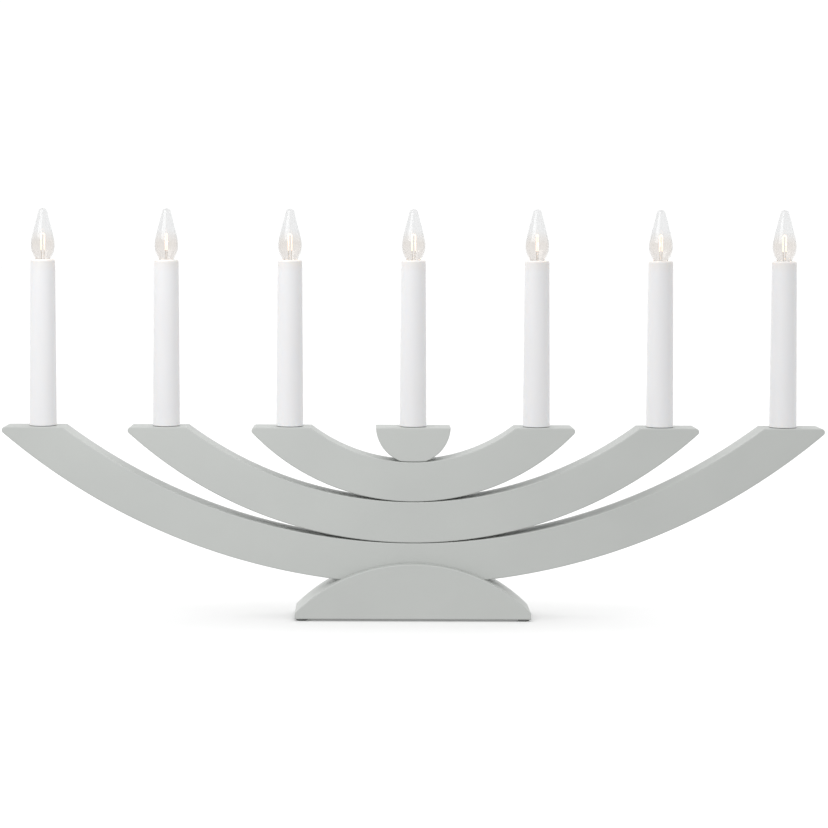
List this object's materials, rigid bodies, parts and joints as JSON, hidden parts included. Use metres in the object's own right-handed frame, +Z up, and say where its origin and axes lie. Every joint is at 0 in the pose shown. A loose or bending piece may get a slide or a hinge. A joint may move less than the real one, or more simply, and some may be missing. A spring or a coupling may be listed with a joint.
{
  "type": "electric candlestick",
  "caption": "Electric candlestick of nested crescent arms and a half-round cup on an arched base, with a row of candle sleeves that hold clear flame-shaped screw lamps.",
  "frame": {"origin": "under the middle of the base, on the surface that the foot pads stand on", "axes": "+X to the right along the row of lights, +Y towards the back, +Z up"},
  "size_m": [0.5962, 0.04, 0.298],
  "materials": {
    "painted_wood": "smooth satin grey paint on solid wood, softened edges",
    "sleeve_plastic": "satin white moulded plastic",
    "holder_plastic": "matt off-white moulded plastic with a metal thread shell",
    "lamp_glass": "clear blown glass",
    "filament": "glowing filament on wire supports in a glass stem",
    "lamp_cap": "rolled brass screw thread",
    "solder": "dull solder",
    "lead_plastic": "smooth white wire insulation",
    "bare_wood": "unpainted beech pin",
    "screw_steel": "zinc-plated steel",
    "bush_rubber": "matt white rubber",
    "pad_rubber": "matt grey rubber"
  },
  "bodies": {
    "root": {"base": "painted_wood", "foot_pad_1": "pad_rubber", "foot_pad_2": "pad_rubber", "foot_pad_3": "pad_rubber", "foot_pad_4": "pad_rubber", "cord_bush": "bush_rubber", "base_screw": "screw_steel", "lower_arm": "painted_wood", "middle_arm": "painted_wood", "upper_arm": "painted_wood", "centre_cup": "painted_wood", "lower_dowel": "bare_wood", "middle_dowel": "bare_wood", "upper_dowel": "bare_wood", "lower_lead": "lead_plastic", "middle_lead": "lead_plastic", "upper_lead": "lead_plastic", "riser_lead": "lead_plastic", "sleeve_1": "sleeve_plastic", "sleeve_2": "sleeve_plastic", "sleeve_3": "sleeve_plastic", "sleeve_4": "sleeve_plastic", "sleeve_5": "sleeve_plastic", "sleeve_6": "sleeve_plastic", "sleeve_7": "sleeve_plastic", "lampholder_1": "holder_plastic", "lampholder_2": "holder_plastic", "lampholder_3": "holder_plastic", "lampholder_4": "holder_plastic", "lampholder_5": "holder_plastic", "lampholder_6": "holder_plastic", "lampholder_7": "holder_plastic"},
    "lamp_rise_1": {"lamp_contact_1": "solder"},
    "lamp_turn_1": {"lamp_glass_1": "lamp_glass", "lamp_filament_1": "filament", "lamp_cap_1": "lamp_cap"},
    "lamp_rise_2": {"lamp_contact_2": "solder"},
    "lamp_turn_2": {"lamp_glass_2": "lamp_glass", "lamp_filament_2": "filament", "lamp_cap_2": "lamp_cap"},
    "lamp_rise_3": {"lamp_contact_3": "solder"},
    "lamp_turn_3": {"lamp_glass_3": "lamp_glass", "lamp_filament_3": "filament", "lamp_cap_3": "lamp_cap"},
    "lamp_rise_4": {"lamp_contact_4": "solder"},
    "lamp_turn_4": {"lamp_glass_4": "lamp_glass", "lamp_filament_4": "filament", "lamp_cap_4": "lamp_cap"},
    "lamp_rise_5": {"lamp_contact_5": "solder"},
    "lamp_turn_5": {"lamp_glass_5": "lamp_glass", "lamp_filament_5": "filament", "lamp_cap_5": "lamp_cap"},
    "lamp_rise_6": {"lamp_contact_6": "solder"},
    "lamp_turn_6": {"lamp_glass_6": "lamp_glass", "lamp_filament_6": "filament", "lamp_cap_6": "lamp_cap"},
    "lamp_rise_7": {"lamp_contact_7": "solder"},
    "lamp_turn_7": {"lamp_glass_7": "lamp_glass", "lamp_filament_7": "filament", "lamp_cap_7": "lamp_cap"}
  },
  "joints": [
    {"name": "rise_1", "type": "slide", "parent": "root", "child": "lamp_rise_1", "axis": [0, 0, 1], "range_m": [0, 0.00545]},
    {"name": "unscrew_1", "type": "hinge", "parent": "lamp_rise_1", "child": "lamp_turn_1", "pos_m": [-0.27, 0, 0.261], "axis": [0, 0, 1], "range_deg": [0, 1080]},
    {"name": "rise_2", "type": "slide", "parent": "root", "child": "lamp_rise_2", "axis": [0, 0, 1], "range_m": [0, 0.00545]},
    {"name": "unscrew_2", "type": "hinge", "parent": "lamp_rise_2", "child": "lamp_turn_2", "pos_m": [-0.18, 0, 0.261], "axis": [0, 0, 1], "range_deg": [0, 1080]},
    {"name": "rise_3", "type": "slide", "parent": "root", "child": "lamp_rise_3", "axis": [0, 0, 1], "range_m": [0, 0.00545]},
    {"name": "unscrew_3", "type": "hinge", "parent": "lamp_rise_3", "child": "lamp_turn_3", "pos_m": [-0.09, 0, 0.261], "axis": [0, 0, 1], "range_deg": [0, 1080]},
    {"name": "rise_4", "type": "slide", "parent": "root", "child": "lamp_rise_4", "axis": [0, 0, 1], "range_m": [0, 0.00545]},
    {"name": "unscrew_4", "type": "hinge", "parent": "lamp_rise_4", "child": "lamp_turn_4", "pos_m": [0, 0, 0.261], "axis": [0, 0, 1], "range_deg": [0, 1080]},
    {"name": "rise_5", "type": "slide", "parent": "root", "child": "lamp_rise_5", "axis": [0, 0, 1], "range_m": [0, 0.00545]},
    {"name": "unscrew_5", "type": "hinge", "parent": "lamp_rise_5", "child": "lamp_turn_5", "pos_m": [0.09, 0, 0.261], "axis": [0, 0, 1], "range_deg": [0, 1080]},
    {"name": "rise_6", "type": "slide", "parent": "root", "child": "lamp_rise_6", "axis": [0, 0, 1], "range_m": [0, 0.00545]},
    {"name": "unscrew_6", "type": "hinge", "parent": "lamp_rise_6", "child": "lamp_turn_6", "pos_m": [0.18, 0, 0.261], "axis": [0, 0, 1], "range_deg": [0, 1080]},
    {"name": "rise_7", "type": "slide", "parent": "root", "child": "lamp_rise_7", "axis": [0, 0, 1], "range_m": [0, 0.00545]},
    {"name": "unscrew_7", "type": "hinge", "parent": "lamp_rise_7", "child": "lamp_turn_7", "pos_m": [0.27, 0, 0.261], "axis": [0, 0, 1], "range_deg": [0, 1080]}
  ],
  "couplings": [
    {"joint": "rise_1", "follows": "unscrew_1", "m_per_rad": 0.00028871},
    {"joint": "rise_2", "follows": "unscrew_2", "m_per_rad": 0.00028871},
    {"joint": "rise_3", "follows": "unscrew_3", "m_per_rad": 0.00028871},
    {"joint": "rise_4", "follows": "unscrew_4", "m_per_rad": 0.00028871},
    {"joint": "rise_5", "follows": "unscrew_5", "m_per_rad": 0.00028871},
    {"joint": "rise_6", "follows": "unscrew_6", "m_per_rad": 0.00028871},
    {"joint": "rise_7", "follows": "unscrew_7", "m_per_rad": 0.00028871}
  ]
}
